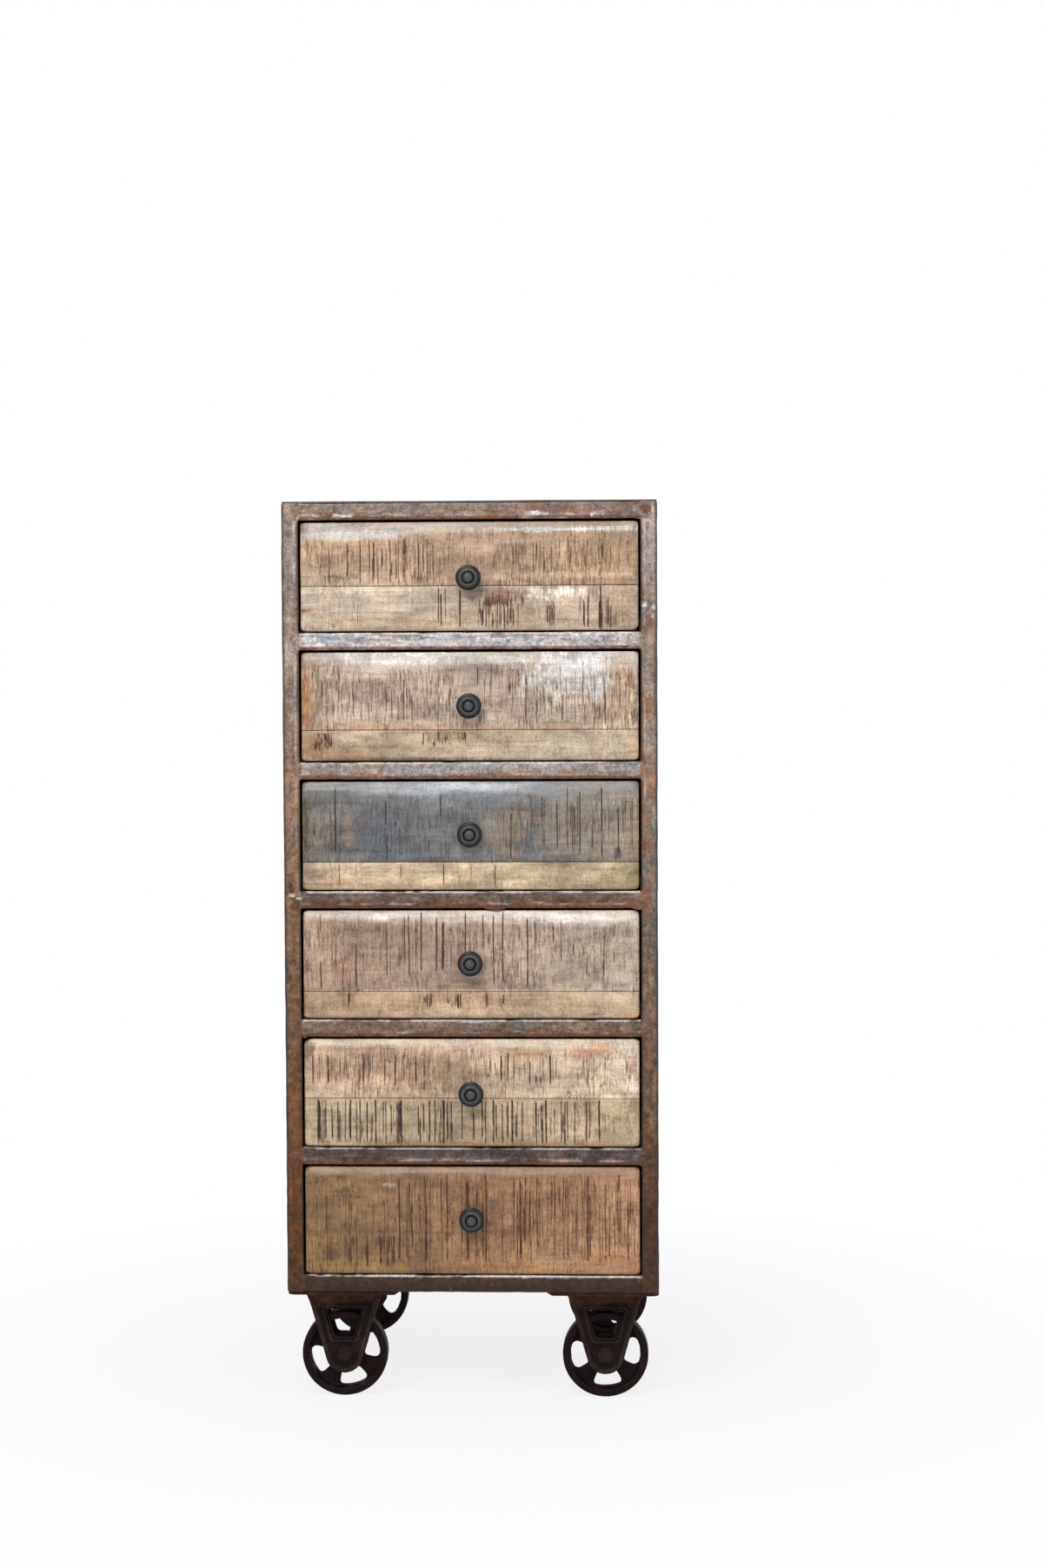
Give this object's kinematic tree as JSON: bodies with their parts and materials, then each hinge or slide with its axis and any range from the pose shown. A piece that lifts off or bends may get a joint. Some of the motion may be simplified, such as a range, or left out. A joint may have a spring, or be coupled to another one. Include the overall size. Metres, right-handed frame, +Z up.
{
  "type": "drawer cabinet",
  "caption": "Tall narrow drawer cabinet with an angle-iron frame, rough-sawn wooden drawer fronts, round iron knobs and spoked cast-iron casters.",
  "frame": {"origin": "middle of the floor space under the cabinet, knobs included, at floor level", "axes": "+Z up, front faces -Y, +X to the right seen from the front"},
  "size_m": [0.438, 0.424, 1.062],
  "materials": {
    "frame_iron": "old rusty iron under clear lacquer, satin",
    "sheet_iron": "rust-stained sheet iron under clear lacquer, satin",
    "inner_iron": "dark primer, worn where the drawers rub",
    "caster_iron": "dark cast iron with a trace of rust, satin",
    "knob_iron": "blackened iron, satin",
    "fastener_steel": "blackened steel",
    "box_wood": "planed, unfinished",
    "front_wood_1": "tan, rough sawn, lacquered",
    "front_wood_2": "grey pink tan, rough sawn, lacquered",
    "front_wood_3": "blue grey over a pale board, rough sawn, lacquered",
    "front_wood_4": "pinkish grey brown, rough sawn, lacquered",
    "front_wood_5": "pale cream with dark saw marks, lacquered",
    "front_wood_6": "warm orange brown, rough sawn, lacquered"
  },
  "bodies": {
    "cabinet": {"post_front_left": "frame_iron", "post_front_right": "frame_iron", "post_rear_left": "frame_iron", "post_rear_right": "frame_iron", "front_rails": "frame_iron", "rear_rails": "frame_iron", "side_rails": "frame_iron", "runners_left": "inner_iron", "runners_right": "inner_iron", "caster_pads": "inner_iron", "side_panel_left": "sheet_iron", "side_panel_right": "sheet_iron", "back_panel": "sheet_iron", "top_panel": "sheet_iron", "bottom_panel": "sheet_iron", "panel_rivets": "fastener_steel", "caster_bolts": "fastener_steel", "caster_nuts": "fastener_steel", "caster_axles": "fastener_steel", "caster_bracket_front_left": "caster_iron", "caster_bracket_front_right": "caster_iron", "caster_bracket_rear_left": "caster_iron", "caster_bracket_rear_right": "caster_iron"},
    "drawer_1": {"drawer_1_front": "front_wood_1", "drawer_1_sides": "box_wood", "drawer_1_back": "box_wood", "drawer_1_bottom": "box_wood", "drawer_1_knob": "knob_iron"},
    "drawer_2": {"drawer_2_front": "front_wood_2", "drawer_2_sides": "box_wood", "drawer_2_back": "box_wood", "drawer_2_bottom": "box_wood", "drawer_2_knob": "knob_iron"},
    "drawer_3": {"drawer_3_front": "front_wood_3", "drawer_3_sides": "box_wood", "drawer_3_back": "box_wood", "drawer_3_bottom": "box_wood", "drawer_3_knob": "knob_iron"},
    "drawer_4": {"drawer_4_front": "front_wood_4", "drawer_4_sides": "box_wood", "drawer_4_back": "box_wood", "drawer_4_bottom": "box_wood", "drawer_4_knob": "knob_iron"},
    "drawer_5": {"drawer_5_front": "front_wood_5", "drawer_5_sides": "box_wood", "drawer_5_back": "box_wood", "drawer_5_bottom": "box_wood", "drawer_5_knob": "knob_iron"},
    "drawer_6": {"drawer_6_front": "front_wood_6", "drawer_6_sides": "box_wood", "drawer_6_back": "box_wood", "drawer_6_bottom": "box_wood", "drawer_6_knob": "knob_iron"},
    "wheel_front_left": {"wheel_front_left": "caster_iron"},
    "wheel_front_right": {"wheel_front_right": "caster_iron"},
    "wheel_rear_left": {"wheel_rear_left": "caster_iron"},
    "wheel_rear_right": {"wheel_rear_right": "caster_iron"}
  },
  "joints": [
    {"name": "drawer_1_slide", "type": "slide", "parent": "cabinet", "child": "drawer_1", "axis": [0, -1, 0], "range_m": [0, 0.28]},
    {"name": "drawer_2_slide", "type": "slide", "parent": "cabinet", "child": "drawer_2", "axis": [0, -1, 0], "range_m": [0, 0.28]},
    {"name": "drawer_3_slide", "type": "slide", "parent": "cabinet", "child": "drawer_3", "axis": [0, -1, 0], "range_m": [0, 0.28]},
    {"name": "drawer_4_slide", "type": "slide", "parent": "cabinet", "child": "drawer_4", "axis": [0, -1, 0], "range_m": [0, 0.28]},
    {"name": "drawer_5_slide", "type": "slide", "parent": "cabinet", "child": "drawer_5", "axis": [0, -1, 0], "range_m": [0, 0.28]},
    {"name": "drawer_6_slide", "type": "slide", "parent": "cabinet", "child": "drawer_6", "axis": [0, -1, 0], "range_m": [0, 0.28]},
    {"name": "wheel_front_left_spin", "type": "hinge", "parent": "cabinet", "child": "wheel_front_left", "pos_m": [-0.1555, -0.138, 0.051], "axis": [0, 1, 0], "continuous": true},
    {"name": "wheel_front_right_spin", "type": "hinge", "parent": "cabinet", "child": "wheel_front_right", "pos_m": [0.1555, -0.138, 0.051], "axis": [0, 1, 0], "continuous": true},
    {"name": "wheel_rear_left_spin", "type": "hinge", "parent": "cabinet", "child": "wheel_rear_left", "pos_m": [-0.1555, 0.162, 0.051], "axis": [0, 1, 0], "continuous": true},
    {"name": "wheel_rear_right_spin", "type": "hinge", "parent": "cabinet", "child": "wheel_rear_right", "pos_m": [0.1555, 0.162, 0.051], "axis": [0, 1, 0], "continuous": true}
  ]
}
